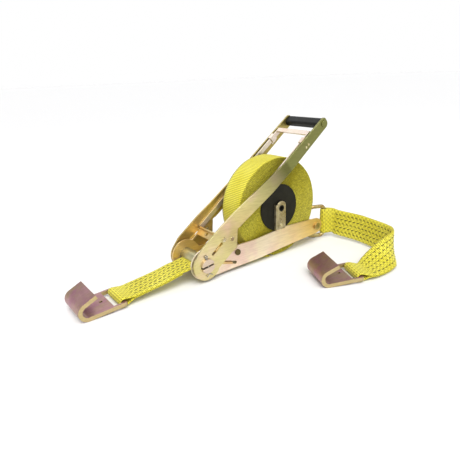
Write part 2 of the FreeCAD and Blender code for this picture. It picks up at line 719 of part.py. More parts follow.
def strap_section(centre, travel, lean):
    """Rectangular wire of the sewn strap, its width leaning from upright about the way it runs."""
    rise = (UP - travel * UP.dot(travel)).normalize()
    side = travel.cross(rise)
    angle = math.radians(lean)
    width = rise * math.cos(angle) + side * math.sin(angle)
    depth = travel.cross(width)
    points = []
    for across_sign, deep_sign in ((1, 1), (1, -1), (-1, -1), (-1, 1)):
        offset = width * (across_sign * WEBBING_WIDTH / 2) + depth * (deep_sign * WEBBING_THICKNESS)
        points.append(centre + offset)
    return Part.makePolygon(points + points[:1])


def right_hook_bar():
    """Middle of the right hook's cross bar."""
    return Vector(RIGHT_BAR_X, RIGHT_BAR_Y, EYE_OUTER)


def level_direction(yaw):
    """Direction along the floor, turned from +X by an angle."""
    return Vector(math.cos(math.radians(yaw)), math.sin(math.radians(yaw)), 0)


def ring_bar():
    """Middle of the D-ring's upright bar."""
    return Vector(REAR_X, 0, RING_Z) + level_direction(RING_YAW) * RING_BAR_AT


def fixed_strap():
    """Sewn strap that turns back on itself and rolls from upright to flat between its two eyes."""
    ring_direction = level_direction(RING_EYE_YAW)
    hook_direction = level_direction(RIGHT_HOOK_YAW)
    first = ring_bar() + ring_direction * EYE_LENGTH
    last = right_hook_bar() + hook_direction * EYE_LENGTH
    places = [first] + [place for place, lean in FIXED_STRAP_STATIONS] + [last]
    leans = [0.0] + [lean for place, lean in FIXED_STRAP_STATIONS] + [90.0]
    travels = [ring_direction]
    for before, after in zip(places[:-2], places[2:]):
        travels.append((after - before).normalize())
    travels.append(hook_direction * -1)
    wires = [strap_section(*station) for station in zip(places, travels, leans)]
    return Part.makeLoft(wires, True, False)


def ring_eye():
    """Eye of the fixed strap on the upright side of the D-ring."""
    eye = sewn_eye(RING_EYE_INNER, EYE_LENGTH - 0.1)
    return placed(eye, ring_bar(), level_direction(RING_EYE_YAW), UP)


def hook_eye():
    """Eye of the fixed strap on the right hook's bar."""
    direction = level_direction(RIGHT_HOOK_YAW)
    return placed(sewn_eye(EYE_INNER, EYE_LENGTH - 0.1), right_hook_bar(), direction, direction.cross(UP))


# Hooks and ring

def hook_tilt():
    """Angle the leg rises at, so that the bend and the webbing eye both touch the floor."""
    along = HOOK_BAR_AT - HOOK_BEND_RADIUS
    above = HOOK_BEND_RADIUS - HOOK_PLATE / 2
    reach = math.hypot(along, above)
    drop = HOOK_BEND_RADIUS - EYE_OUTER + 0.02
    return math.degrees(math.acos(drop / reach) - math.atan2(along, above))


def flat_hook():
    """Bent plate hook with its cross bar at zero and its slotted leg lifted to clear the eye."""
    inner = HOOK_BEND_RADIUS - HOOK_PLATE
    half = HOOK_HALF_WIDTH
    lip = math.radians(HOOK_LIP_ANGLE)
    centre = Vector(HOOK_BEND_RADIUS, -half, HOOK_BEND_RADIUS)

    def on_bend(radius, angle):
        return centre + Vector(radius * math.cos(angle), 0, radius * math.sin(angle))

    lip_start = math.pi / 2 + lip
    along_lip = Vector(math.cos(lip), 0, math.sin(lip)) * HOOK_LIP_LENGTH
    outer_top, inner_top = on_bend(HOOK_BEND_RADIUS, lip_start), on_bend(inner, lip_start)
    outer_low, inner_low = on_bend(HOOK_BEND_RADIUS, -math.pi / 2), on_bend(inner, -math.pi / 2)
    leg_low = Vector(HOOK_LENGTH, -half, 0)
    leg_high = Vector(HOOK_LENGTH, -half, HOOK_PLATE)
    edges = [
        Part.LineSegment(leg_low, outer_low).toShape(),
        Part.Arc(outer_low, on_bend(HOOK_BEND_RADIUS, math.pi), outer_top).toShape(),
        Part.LineSegment(outer_top, outer_top + along_lip).toShape(),
        Part.LineSegment(outer_top + along_lip, inner_top + along_lip).toShape(),
        Part.LineSegment(inner_top + along_lip, inner_top).toShape(),
        Part.Arc(inner_top, on_bend(inner, math.pi), inner_low).toShape(),
        Part.LineSegment(inner_low, leg_high).toShape(),
        Part.LineSegment(leg_high, leg_low).toShape(),
    ]
    hook = Part.Face(Part.Wire(edges)).extrude(Vector(0, 2 * half, 0))
    slot_half = HOOK_SLOT_HALF_LENGTH
    slot = box(HOOK_SLOT, (-slot_half, slot_half), (-5, 15))
    hole = Part.makeCylinder(HOOK_HOLE_RADIUS, 20, Vector(HOOK_HOLE_AT, 0, -5), UP)
    hook = hook.cut([slot, hole])
    hook = hook.makeFillet(2.4, [e for e in hook.Edges if is_bar_edge(e)])
    trim = flat_plate(
        [(-5, -half, 0), (HOOK_LENGTH, -half, 6), (HOOK_LENGTH, half, 6), (-5, half, 0)], -5, 60
    )
    hook = hook.common(trim)
    hook.translate(Vector(-HOOK_BAR_AT, 0, -HOOK_PLATE / 2))
    hook.rotate(Vector(0, 0, 0), ACROSS, -hook_tilt())
    return hook


def is_bar_edge(edge):
    """True for the long edges of the hook's cross bar, on the slot side and at the end."""
    middle = edge.CenterOfMass
    flat_in_x = edge.BoundBox.XLength < 0.01
    return flat_in_x and edge.BoundBox.YLength > 40 and middle.x > HOOK_SLOT[1] - 0.01


def hook_left():
    hook = flat_hook()
    hook.translate(left_hook_bar())
    return hook


def hook_right():
    hook = flat_hook()
    hook.rotate(Vector(0, 0, 0), UP, RIGHT_HOOK_YAW)
    hook.translate(right_hook_bar())
    return hook


def d_ring():
    """Round-rod ring: half circle round the rear bolt, two sides and an upright strap bar."""
    half = RING_HALF_HEIGHT
    corner = RING_CORNER
    direction = level_direction(RING_YAW)
    bow_x = half - (REAR_BUSH_RADIUS + SIDE_GAP + RING_ROD) / direction.x
    bar_x = RING_BAR_AT
    diagonal = corner * (1 - math.sqrt(0.5))

    def at(x, z):
        return Vector(REAR_X, 0, RING_Z + z) + direction * x

    edges = [
        Part.Arc(at(bow_x, half), at(bow_x - half, 0), at(bow_x, -half)).toShape(),
        Part.LineSegment(at(bow_x, -half), at(bar_x - corner, -half)).toShape(),
        Part.Arc(
            at(bar_x - corner, -half),
            at(bar_x - diagonal, -half + diagonal),
            at(bar_x, -half + corner),
        ).toShape(),
        Part.LineSegment(at(bar_x, -half + corner), at(bar_x, half - corner)).toShape(),
        Part.Arc(
            at(bar_x, half - corner),
            at(bar_x - diagonal, half - diagonal),
            at(bar_x - corner, half),
        ).toShape(),
        Part.LineSegment(at(bar_x - corner, half), at(bow_x, half)).toShape(),
    ]
    path = Part.Wire(edges)
    section = Part.Wire(Part.makeCircle(RING_ROD, at(bow_x, half), direction))
    return path.makePipeShell([section], True, True)


def build():
    """Every piece by its node name, before the origin is moved."""
    plate, post, arm = frame_plate(), reel_post(), handle_arm()
    rivets, clip, small_rivets = arm_rivets(), guide_clip(), clip_rivets()
    wheel, pin = ratchet_wheel(), split_pin()
    post_face = -FRAME_OUTER - POST_PLATE
    post_rivet = rivet(REEL_X, POST_RIVET_Z, POST_RIVET_RADIUS, -FRAME_INNER, post_face)
    flange = reel_flange()
    sleeve = bolt_sleeve(SLEEVE_RADIUS, -FRAME_INNER, -RING_SEAT)
    return {
        "frame_plate_right": plate,
        "frame_plate_left": mirrored(plate),
        "frame_spacer_tube": frame_spacer(),
        "lock_spring_rod": lock_spring_rod(),
        "reel_post_right": post,
        "reel_post_left": mirrored(post),
        "post_rivets": Part.makeCompound([post_rivet, mirrored(post_rivet)]),
        "rear_bolt": rear_bolt(),
        "rear_nut": rear_nut(),
        "ring_bush": bolt_sleeve(REAR_BUSH_RADIUS, -RING_SEAT, RING_SEAT),
        "ring_sleeves": Part.makeCompound([sleeve, mirrored(sleeve)]),
        "free_strap_eye": free_strap_eye(),
        "free_strap": free_strap(),
        "feed_run": feed_run(),
        "mandrel_half_upper": mandrel_half(True),
        "mandrel_half_lower": mandrel_half(False),
        "ratchet_wheel_right": wheel,
        "ratchet_wheel_left": mirrored(wheel),
        "mandrel_split_pins": Part.makeCompound([pin, mirrored(pin)]),
        "webbing_in_mandrel": webbing_in_mandrel(),
        "lock_pawl": lock_pawl(),
        "lock_springs": lock_springs(),
        "handle_arm_right": arm,
        "handle_arm_left": mirrored(arm),
        "arm_rivets": Part.makeCompound([rivets, mirrored(rivets)]),
        "guide_clips": Part.makeCompound([clip, mirrored(clip)]),
        "clip_rivets": Part.makeCompound([small_rivets, mirrored(small_rivets)]),
        "grip_sleeve": grip_sleeve(),
        "grip_rod": grip_rod(),
        "drive_pawl": drive_pawl(),
        "drive_springs": drive_springs(),
        "pull_bar": pull_bar(),
        "reel_hub": reel_hub(),
        "reel_flange_right": flange,
        "reel_flange_left": mirrored(flange),
        "wound_webbing": wound_webbing(),
        "d_ring": d_ring(),
        "ring_eye": ring_eye(),
        "fixed_strap": fixed_strap(),
        "hook_eye": hook_eye(),
        "hook_left": hook_left(),
        "hook_right": hook_right(),
    }


def origin_shift(shapes):
    """Move that puts the origin on the floor under the middle of the whole object."""
    bounds = Part.makeCompound(list(shapes.values())).optimalBoundingBox(False, False)
    return Vector(-bounds.Center.x, -bounds.Center.y, 0)


def main():
    os.makedirs("parts", exist_ok=True)
    shapes = build()
    shift = origin_shift(shapes)
    for name, shape in shapes.items():
        shape.translate(shift)
        shape.exportStep(f"parts/{name}.step")


if __name__ == "__main__":
    main()
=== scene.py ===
import json
import math

import bpy
from mathutils import Matrix, Vector, noise


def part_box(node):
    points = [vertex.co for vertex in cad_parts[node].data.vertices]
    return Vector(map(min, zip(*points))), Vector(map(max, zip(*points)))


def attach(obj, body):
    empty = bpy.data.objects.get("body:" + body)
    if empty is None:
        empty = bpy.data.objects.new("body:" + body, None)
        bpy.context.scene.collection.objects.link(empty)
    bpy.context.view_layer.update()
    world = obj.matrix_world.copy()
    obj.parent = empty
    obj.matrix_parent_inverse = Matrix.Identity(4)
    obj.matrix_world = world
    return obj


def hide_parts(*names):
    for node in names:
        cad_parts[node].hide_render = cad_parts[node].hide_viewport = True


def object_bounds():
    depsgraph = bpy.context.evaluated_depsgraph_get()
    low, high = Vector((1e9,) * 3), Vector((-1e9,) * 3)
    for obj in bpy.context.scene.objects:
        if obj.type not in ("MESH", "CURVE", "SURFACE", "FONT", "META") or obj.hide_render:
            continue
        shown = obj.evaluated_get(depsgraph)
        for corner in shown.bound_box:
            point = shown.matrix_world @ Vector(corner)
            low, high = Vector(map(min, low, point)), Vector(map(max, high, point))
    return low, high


# Looks of a ratchet tie down with its storage reel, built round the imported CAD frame, in metres.

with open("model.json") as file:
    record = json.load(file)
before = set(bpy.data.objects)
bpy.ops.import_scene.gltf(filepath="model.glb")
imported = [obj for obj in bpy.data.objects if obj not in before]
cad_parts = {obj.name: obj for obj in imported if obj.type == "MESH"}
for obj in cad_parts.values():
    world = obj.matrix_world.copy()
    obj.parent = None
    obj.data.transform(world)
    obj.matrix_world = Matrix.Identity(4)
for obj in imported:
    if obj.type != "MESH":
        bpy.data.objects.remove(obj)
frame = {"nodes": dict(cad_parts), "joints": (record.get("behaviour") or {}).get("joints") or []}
cad_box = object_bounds()

JOINTS = {joint["name"]: joint for joint in frame["joints"]}
MANDREL = Vector(JOINTS["handle_hinge"]["pos_m"])
REEL = Vector(JOINTS["reel_spin"]["pos_m"])
LEFT_BAR = Vector(JOINTS["left_hook_hinge"]["pos_m"])
RING_BAR = Vector(JOINTS["fixed_strap_swing"]["pos_m"])
RIGHT_BAR = Vector(JOINTS["right_hook_hinge"]["pos_m"])
RIGHT_BAR_AXIS = Vector(JOINTS["right_hook_hinge"]["axis"])
HANDLE_DIRECTION = Vector(JOINTS["drive_pawl_slide"]["axis"])
UP = Vector((0, 0, 1))
ACROSS = Vector((0, 1, 0))
MM = 0.001

# Webbing
WIDTH = 50 * MM
PLY = 2.3 * MM
EYE_LENGTH = 17 * MM
HOOK_EYE_RADIUS = 4.9 * MM + PLY / 2
RING_EYE_RADIUS = 5.6 * MM + PLY / 2
ROWS = (-0.66, -0.33, 0.0, 0.33, 0.66)
STITCH_PITCH = 8.4 * MM
STITCH_LENGTH = 6.2 * MM
STITCH_RADIUS = 0.85 * MM
STITCH_SINK = 0.2 * MM
STITCH_SIDES = 6
ROW_DIP = 0.55 * MM
RIB_PITCH = 3.0 * MM
SPACING = 1.6 * MM
STRAP_SAG = 1.5 * MM
EYE_STEPS = 28
SLOT_SLOPE = math.radians(8.5)
RING_EYE_YAW = math.radians(-37)

# Fixed strap: places on its middle line from the mandrel, with its lean from upright in degrees,
# which is positive where the top leans in over the loop
FIXED_STRAP_STATIONS = (
    (Vector((0.3095, -0.0340, 0.0320)), -4),
    (Vector((0.3195, -0.0810, 0.0294)), -9),
    (Vector((0.3185, -0.1205, 0.0274)), -11),
    (Vector((0.3110, -0.1550, 0.0272)), -8),
    (Vector((0.2955, -0.1730, 0.0270)), 5),
    (Vector((0.2730, -0.1820, 0.0236)), 28),
    (Vector((0.2540, -0.1825, 0.0170)), 57),
    (Vector((0.2320, -0.1810, 0.0096)), 78),
)


# Mesh helpers

def new_piece(name, vertices, faces, uvs=None):
    """Smooth mesh object; uvs gives one pair of coordinates for each corner of each face."""
    mesh = bpy.data.meshes.new(name)
    mesh.from_pydata([tuple(v) for v in vertices], [], faces)
    if uvs is not None:
        layer = mesh.uv_layers.new(name="webbing")
        layer.data.foreach_set("uv", [c for pair in uvs for c in pair])
    mesh.polygons.foreach_set("use_smooth", [True] * len(mesh.polygons))
    mesh.update()
    piece = bpy.data.objects.new(name, mesh)
    bpy.context.scene.collection.objects.link(piece)
    return piece


class Place:
    """One place along a strap: its middle, the direction of its width and the side it faces."""

    def __init__(self, middle, width, facing):
        self.middle = middle
        self.width = width.normalized()
        self.facing = facing.normalized()


def respaced(places, spacing, closed=False):
    """The same line with its places at an even spacing."""
    line = places + places[:1] if closed else places
    steps = [(b.middle - a.middle).length for a, b in zip(line, line[1:])]
    total = sum(steps)
    count = max(2, round(total / spacing))
    result = []
    index, start = 0, 0.0
    for i in range(count if closed else count + 1):
        target = total * i / count
        while index < len(steps) - 1 and start + steps[index] < target:
            start += steps[index]
            index += 1
        part = 0 if steps[index] == 0 else (target - start) / steps[index]
        a, b = line[index], line[index + 1]
        result.append(
            Place(a.middle.lerp(b.middle, part), a.width.lerp(b.width, part), a.facing.lerp(b.facing, part))
        )
    return result


def smoothed(places, passes, closed=False):
    """The same places, each drawn towards the two beside it, once for each pass."""
    for _ in range(passes):
        count = len(places)
        result = list(places)
        for i in range(0 if closed else 1, count if closed else count - 1):
            a, b, c = places[i - 1], places[i], places[(i + 1) % count]
            result[i] = Place(
                (a.middle + b.middle * 2 + c.middle) / 4,
                a.width + b.width * 2 + c.width,
                a.facing + b.facing * 2 + c.facing,
            )
        places = result
    return places


def row_dip(u, along):
    """How far the surface is drawn in at the rows of stitches."""
    dip = 0.0
    for row_number, row in enumerate(ROWS):
        phase = math.pi * row_number
        pull = 0.55 + 0.45 * math.cos(2 * math.pi * along / STITCH_PITCH + phase)
        dip += pull * math.exp(-(((u - row) / 0.075) ** 2))
    return dip


def ribbon(name, places, thickness=PLY, closed=False, columns=20, sewn=None):
    """Strip of webbing with rounded edges; sewn(along) says how strongly stitches draw it in."""
    vertices, uvs_of = [], []
    along = 0.0
    for i, place in enumerate(places):
        if i:
            along += (place.middle - places[i - 1].middle).length
        strength = sewn(along) if sewn else 0.0
        ring = [(-1 + 2 * c / columns, 1) for c in range(columns + 1)]
        ring += [(1 - 2 * c / columns, -1) for c in range(1, columns)]
        for u, side in ring:
            edge = max(0.0, (abs(u) - 0.955) / 0.045)
            half = thickness / 2 * math.sqrt(max(0.0, 1 - edge * edge))
            crown = 0.05 * thickness * (1 - u * u)
            wave = noise.noise(Vector((along * 60, u * 1.3, side * 2 + len(name)))) * 0.12 * thickness
            height = side * (half + crown) + wave
            if side > 0 and strength and abs(u) < 0.93:
                height -= strength * ROW_DIP * row_dip(u, along)
            fray = noise.noise(Vector((along * 90, side * 0.3, u * 2))) * 0.25 * MM * abs(u)
            offset = place.width * (u * WIDTH / 2 + fray) + place.facing * height
            vertices.append(place.middle + offset)
            uvs_of.append(((u + 1) * WIDTH / 2, along))
    size = 2 * columns
    faces, uvs = [], []
    total = along + (places[0].middle - places[-1].middle).length
    for i in range(len(places) if closed else len(places) - 1):
        following = (i + 1) % len(places)
        for c in range(size):
            d = (c + 1) % size
            corners = (i * size + c, following * size + c, following * size + d, i * size + d)
            faces.append(corners)
            for corner in corners:
                across, far = uvs_of[corner]
                wrapped = following == 0 and corner < size
                uvs.append((across, total if wrapped else far))
    if not closed:
        first = list(range(size))
        last = [(len(places) - 1) * size + c for c in reversed(range(size))]
        for cap in (first, last):
            faces.append(cap)
            uvs += [uvs_of[corner] for corner in cap]
    return new_piece(name, vertices, faces, uvs)


def stitches(name, places):
    """Rows of short thread capsules lying in the face of a strap."""
    distances = [0.0]
    for a, b in zip(places, places[1:]):
        distances.append(distances[-1] + (b.middle - a.middle).length)
    total = distances[-1]

    def at(along):
        along = min(max(along, 0), total - 1e-9)
        index = max(i for i, d in enumerate(distances) if d <= along)
        index = min(index, len(places) - 2)
        part = (along - distances[index]) / (distances[index + 1] - distances[index])
        a, b = places[index], places[index + 1]
        return Place(
            a.middle.lerp(b.middle, part), a.width.lerp(b.width, part), a.facing.lerp(b.facing, part)
        )

    vertices, faces = [], []
    shape = ((0.0, 0.15), (0.16, 0.8), (0.5, 1.0), (0.84, 0.8), (1.0, 0.15))
    for row_number, row in enumerate(ROWS):
        first = STITCH_PITCH * (0.2 + 0.5 * (row_number % 2))
        count = int((total - first) / STITCH_PITCH)
        for k in range(max(0, count)):
            begin = first + k * STITCH_PITCH
            if begin + STITCH_LENGTH > total:
                continue
            jitter = noise.noise(Vector((k * 1.7, row_number * 3.1, len(name)))) * 0.5 * MM
            base = len(vertices)
            for part, size in shape:
                spot = at(begin + part * STITCH_LENGTH)
                sink = (1 - size) * 0.5 * MM + STITCH_SINK
                centre = (
                    spot.middle
                    + spot.width * (row * WIDTH / 2 + jitter)
                    + spot.facing * (PLY / 2 - sink)
                )
                for s in range(STITCH_SIDES):
                    angle = 2 * math.pi * s / STITCH_SIDES
                    vertices.append(
                        centre
                        + spot.width * (STITCH_RADIUS * size * math.cos(angle))
                        + spot.facing * (STITCH_RADIUS * size * math.sin(angle))
                    )
            for ring in range(len(shape) - 1):
                for s in range(STITCH_SIDES):
                    t = (s + 1) % STITCH_SIDES
                    low, high = base + ring * STITCH_SIDES, base + (ring + 1) * STITCH_SIDES
                    faces.append((low + s, low + t, high + t, high + s))
            faces.append([base + s for s in reversed(range(STITCH_SIDES))])
            faces.append([base + (len(shape) - 1) * STITCH_SIDES + s for s in range(STITCH_SIDES)])
    return new_piece(name, vertices, faces)


def eye_turn(bar, along, rise, width, radius):
    """Places round a bar, from the ply on the rise side to the ply on the other side."""
    half = PLY / 2
    span = math.hypot(EYE_LENGTH, half)
    touch = math.atan2(half, EYE_LENGTH) + math.acos(radius / span)
    places = [Place(bar + along * EYE_LENGTH + rise * half, width, rise)]
    for i in range(EYE_STEPS + 1):
        angle = touch + (2 * math.pi - 2 * touch) * i / EYE_STEPS
        outward = along * math.cos(angle) + rise * math.sin(angle)
        places.append(Place(bar + outward * radius, width, outward))
    places.append(Place(bar + along * EYE_LENGTH - rise * half, width, rise * -1))
    return places


# Straps

def left_strap():
    """Webbing from the mandrel slot to the left hook, folded round its bar and sewn to itself."""
    line = MANDREL - LEFT_BAR
    along = line.normalized()
    rise = along.cross(ACROSS) * -1
    if rise.z < 0:
        rise = rise * -1
    end = line.length - 12.4 * MM
    sewn_end = line.length - 38 * MM
    upper = [
        Place(LEFT_BAR + along * end, ACROSS, rise),
        Place(LEFT_BAR + along * (sewn_end + 7 * MM), ACROSS, rise),
        Place(LEFT_BAR + along * sewn_end + rise * (PLY / 2), ACROSS, rise),
    ]
    turn = eye_turn(LEFT_BAR, along, rise, ACROSS, HOOK_EYE_RADIUS)
    lower = [Place(LEFT_BAR + along * (sewn_end - 1 * MM) - rise * (PLY / 2), ACROSS, rise * -1)]
    places = smoothed(respaced(upper + turn + lower, SPACING), 3)
    for place in places:
        part = ((place.middle - LEFT_BAR).dot(along) - EYE_LENGTH / 2) / (end - EYE_LENGTH / 2)
        if part > 0:
            place.middle = place.middle - rise * (STRAP_SAG * math.sin(math.pi * part) ** 2)
    total = sum((b.middle - a.middle).length for a, b in zip(places, places[1:]))
    eye_from = end - EYE_LENGTH
    eye_to = total - (sewn_end - EYE_LENGTH)

    def sewn(distance):
        return 0.0 if eye_from < distance < eye_to else 1.0

    strap = ribbon("free_strap_webbing", places, sewn=sewn)
    flat_run = [p for p in places if (p.middle - LEFT_BAR).dot(along) > EYE_LENGTH - 4 * MM]
    above = [p for p in flat_run if p.facing.dot(rise) > 0.5]
    below = [p for p in flat_run if p.facing.dot(rise) < -0.5]
    threads = [
        stitches("free_strap_stitches_upper", above),
        stitches("free_strap_stitches_lower", below),
    ]
    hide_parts("free_strap", "free_strap_eye")
    return [strap], threads


def mandrel_webbing():
    """The short length inside the mandrel's slot."""
    low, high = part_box("webbing_in_mandrel")
    middle = (low + high) / 2
    reach = 11.6 * MM
    along = Vector((math.cos(SLOT_SLOPE), 0, math.sin(SLOT_SLOPE)))
    facing = along.cross(ACROSS) * -1
    places = [Place(middle + along * (reach * (i / 8 - 1)), ACROSS, facing) for i in range(17)]
    piece = ribbon("mandrel_webbing", places, thickness=PLY * 0.96)
    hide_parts("webbing_in_mandrel")
    return piece


def feed_webbing():
    """Straight run from the mandrel slot to the underside of the roll."""
    low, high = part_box("feed_run")
    start = MANDREL + Vector((12.6 * MM * math.cos(SLOT_SLOPE), 0, 12.6 * MM * math.sin(SLOT_SLOPE)))
    outer = (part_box("wound_webbing")[1].z - REEL.z) + PLY / 2 + 0.3 * MM
    to_reel = REEL - start
    fall = math.asin(outer / to_reel.length) - math.atan2(to_reel.z, to_reel.x)
    length = math.sqrt(to_reel.length ** 2 - outer ** 2)
    along = Vector((math.cos(fall), 0, -math.sin(fall)))
    facing = Vector((math.sin(fall), 0, math.cos(fall)))
    count = round(length / SPACING)
    places = [Place(start + along * (length * i / count), ACROSS, facing) for i in range(count + 1)]
    piece = ribbon("feed_run_webbing", places, thickness=PLY * 0.94)
    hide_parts("feed_run")
    return piece


def roll_webbing():
    """The wound roll: one long strip in a spiral, its turns a little uneven."""
    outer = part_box("wound_webbing")[1].z - REEL.z
    hub_low, hub_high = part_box("reel_hub")
    inner = (hub_high.z - hub_low.z) / 2 + 0.3 * MM
    turns = round((outer - inner) / PLY) - 0.5
    first, last = inner + PLY / 2, outer - PLY / 2
    end_angle = math.radians(-98)
    steps = round(turns * 110)
    places = []
    for i in range(steps + 1):
        part = i / steps
        angle = end_angle + 2 * math.pi * turns * (1 - part)
        radius = first + (last - first) * part
        turn_number = turns * part
        outward = Vector((math.cos(angle), 0, math.sin(angle)))
        uneven = noise.noise(Vector((outward.x * 1.2, outward.z * 1.2, turn_number * 1.9)))
        sideways = ACROSS * (0.55 * MM * uneven)
        bulge = 0.25 * MM * noise.noise(Vector((outward.x * 2, outward.z * 2, 7)))
        places.append(Place(REEL + outward * (radius + min(0.0, bulge)) + sideways, ACROSS, outward))
    piece = ribbon("wound_roll_webbing", places, thickness=PLY * 0.97, columns=10)
    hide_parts("wound_webbing")
    return piece


def fixed_strap():
    """Sewn double strap from the ring to the right hook, closed round both bars."""
    ring_along = Vector((math.cos(RING_EYE_YAW), math.sin(RING_EYE_YAW), 0))
    hook_along = RIGHT_BAR_AXIS.cross(UP).normalized()
    origin = Vector((MANDREL.x, MANDREL.y, 0))
    middles = [RING_BAR + ring_along * EYE_LENGTH]
    middles += [origin + place for place, lean in FIXED_STRAP_STATIONS]
    middles += [RIGHT_BAR + hook_along * EYE_LENGTH]
    leans = [0] + [lean for place, lean in FIXED_STRAP_STATIONS] + [90]
    travels = [ring_along]
    travels += [(after - before).normalized() for before, after in zip(middles, middles[2:])]
    travels += [hook_along * -1]
    stations = list(zip(middles, travels, leans))
    core = []
    for (a, ta, la), (b, tb, lb) in zip(stations, stations[1:]):
        reach = (b - a).length
        steps = 24
        for i in range(steps):
            t = i / steps
            middle = (
                a * (2 * t ** 3 - 3 * t ** 2 + 1)
                + ta * (reach * (t ** 3 - 2 * t ** 2 + t))
                + b * (-2 * t ** 3 + 3 * t ** 2)
                + tb * (reach * (t ** 3 - t ** 2))
            )
            travel = (ta * (1 - t) + tb * t).normalized()
            core.append((middle, travel, la + (lb - la) * t))
    core.append(stations[-1])
    middle_line = []
    for middle, travel, lean in core:
        rise = (UP - travel * UP.dot(travel)).normalized()
        side = travel.cross(rise)
        angle = math.radians(lean)
        width = rise * math.cos(angle) + side * math.sin(angle)
        middle_line.append(Place(middle, width, travel.cross(width)))
    middle_line = smoothed(respaced(middle_line, SPACING), 6)
    first, last = middle_line[0], middle_line[-1]
    ply_out = [Place(p.middle + p.facing * (PLY / 2), p.width, p.facing) for p in middle_line]
    ply_back = [Place(p.middle - p.facing * (PLY / 2), p.width, p.facing * -1) for p in reversed(middle_line)]
    hook_turn = eye_turn(RIGHT_BAR, hook_along, last.facing, last.width, HOOK_EYE_RADIUS)
    ring_turn = eye_turn(RING_BAR, ring_along, first.facing, first.width, RING_EYE_RADIUS)
    back_turn = [Place(p.middle, p.width, p.facing) for p in reversed(ring_turn)]
    loop = ply_out[1:-1] + hook_turn + ply_back[1:-1] + back_turn
    places = smoothed(respaced(loop, SPACING, closed=True), 3, closed=True)
    length = sum((b.middle - a.middle).length for a, b in zip(places, places[1:]))
    run = sum((b.middle - a.middle).length for a, b in zip(middle_line, middle_line[1:]))

    def sewn(distance):
        turn = length - 2 * run
        return 0.0 if run < distance < run + turn / 2 or distance > 2 * run + turn / 2 else 1.0

    strap = ribbon("fixed_strap_webbing", places, closed=True, sewn=sewn)
    threads = [
        stitches("fixed_strap_stitches_inner", ply_out[3:-3]),
        stitches("fixed_strap_stitches_outer", ply_back[3:-3]),
    ]
    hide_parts("fixed_strap", "ring_eye", "hook_eye")
    return [strap], threads


# Materials

def srgb(red, green, blue):
    """Linear colour from the usual 0 to 255 values."""
    def linear(value):
        value /= 255
        return value / 12.92 if value <= 0.04045 else ((value + 0.055) / 1.055) ** 2.4
    return (linear(red), linear(green), linear(blue), 1.0)


class Shader:
    """A material with one Principled shader and short calls for the nodes that feed it."""

    def __init__(self, name):
        self.material = bpy.data.materials.new(name)
        self.material.use_nodes = True
        self.tree = self.material.node_tree
        self.principled = self.tree.nodes["Principled BSDF"]

    def node(self, kind, **settings):
        made = self.tree.nodes.new(kind)
        for key, value in settings.items():
            setattr(made, key, value)
        return made

    def link(self, output, target):
        self.tree.links.new(output, target)

    def set(self, **values):
        for key, value in values.items():
            self.principled.inputs[key.replace("_", " ")].default_value = value

    def feed(self, socket, value):
        """Connect value if it is an output, otherwise set it."""
        if isinstance(value, bpy.types.NodeSocket):
            self.link(value, socket)
        else:
            socket.default_value = value

    def math(self, operation, a, b=0.0, clamp=False):
        made = self.node("ShaderNodeMath", operation=operation, use_clamp=clamp)
        self.feed(made.inputs[0], a)
        self.feed(made.inputs[1], b)
        return made.outputs[0]

    def mix(self, factor, a, b, blend="MIX"):
        made = self.node("ShaderNodeMix", data_type="RGBA", blend_type=blend)
        self.feed(made.inputs[0], factor)
        self.feed(made.inputs[6], a)
        self.feed(made.inputs[7], b)
        return made.outputs[2]

    def spread(self, value, low, high, to_low=0.0, to_high=1.0):
        made = self.node("ShaderNodeMapRange")
        for index, number in enumerate((value, low, high, to_low, to_high)):
            self.feed(made.inputs[index], number)
        return made.outputs[0]

    def place(self, scale=(1, 1, 1), angle=0.0):
        """Object coordinates, turned about Y and stretched."""
        coordinates = self.node("ShaderNodeTexCoord")
        mapping = self.node("ShaderNodeMapping")
        mapping.inputs["Rotation"].default_value = (0, angle, 0)
        mapping.inputs["Scale"].default_value = scale
        self.link(coordinates.outputs["Object"], mapping.inputs["Vector"])
        return mapping.outputs[0]

    def noise(self, vector, scale, detail=3.0, roughness=0.5):
        made = self.node("ShaderNodeTexNoise")
        self.link(vector, made.inputs["Vector"])
        made.inputs["Scale"].default_value = scale
        made.inputs["Detail"].default_value = detail
        made.inputs["Roughness"].default_value = roughness
        return made.outputs["Fac"]

    def edges(self, radius, samples=4):
        """1 on sharp outer edges and 0 on flat faces."""
        bevel = self.node("ShaderNodeBevel", samples=samples)
        bevel.inputs["Radius"].default_value = radius
        flat = self.node("ShaderNodeNewGeometry")
        compare = self.node("ShaderNodeVectorMath", operation="DOT_PRODUCT")
        self.link(bevel.outputs[0], compare.inputs[0])
        self.link(flat.outputs["Normal"], compare.inputs[1])
        return self.spread(compare.outputs["Value"], 0.995, 0.8), bevel.outputs[0]

    def bump(self, height, strength, distance, normal=None):
        made = self.node("ShaderNodeBump")
        made.inputs["Strength"].default_value = strength
        made.inputs["Distance"].default_value = distance
        self.link(height, made.inputs["Height"])
        if normal is not None:
            self.link(normal, made.inputs["Normal"])
        return made.outputs[0]


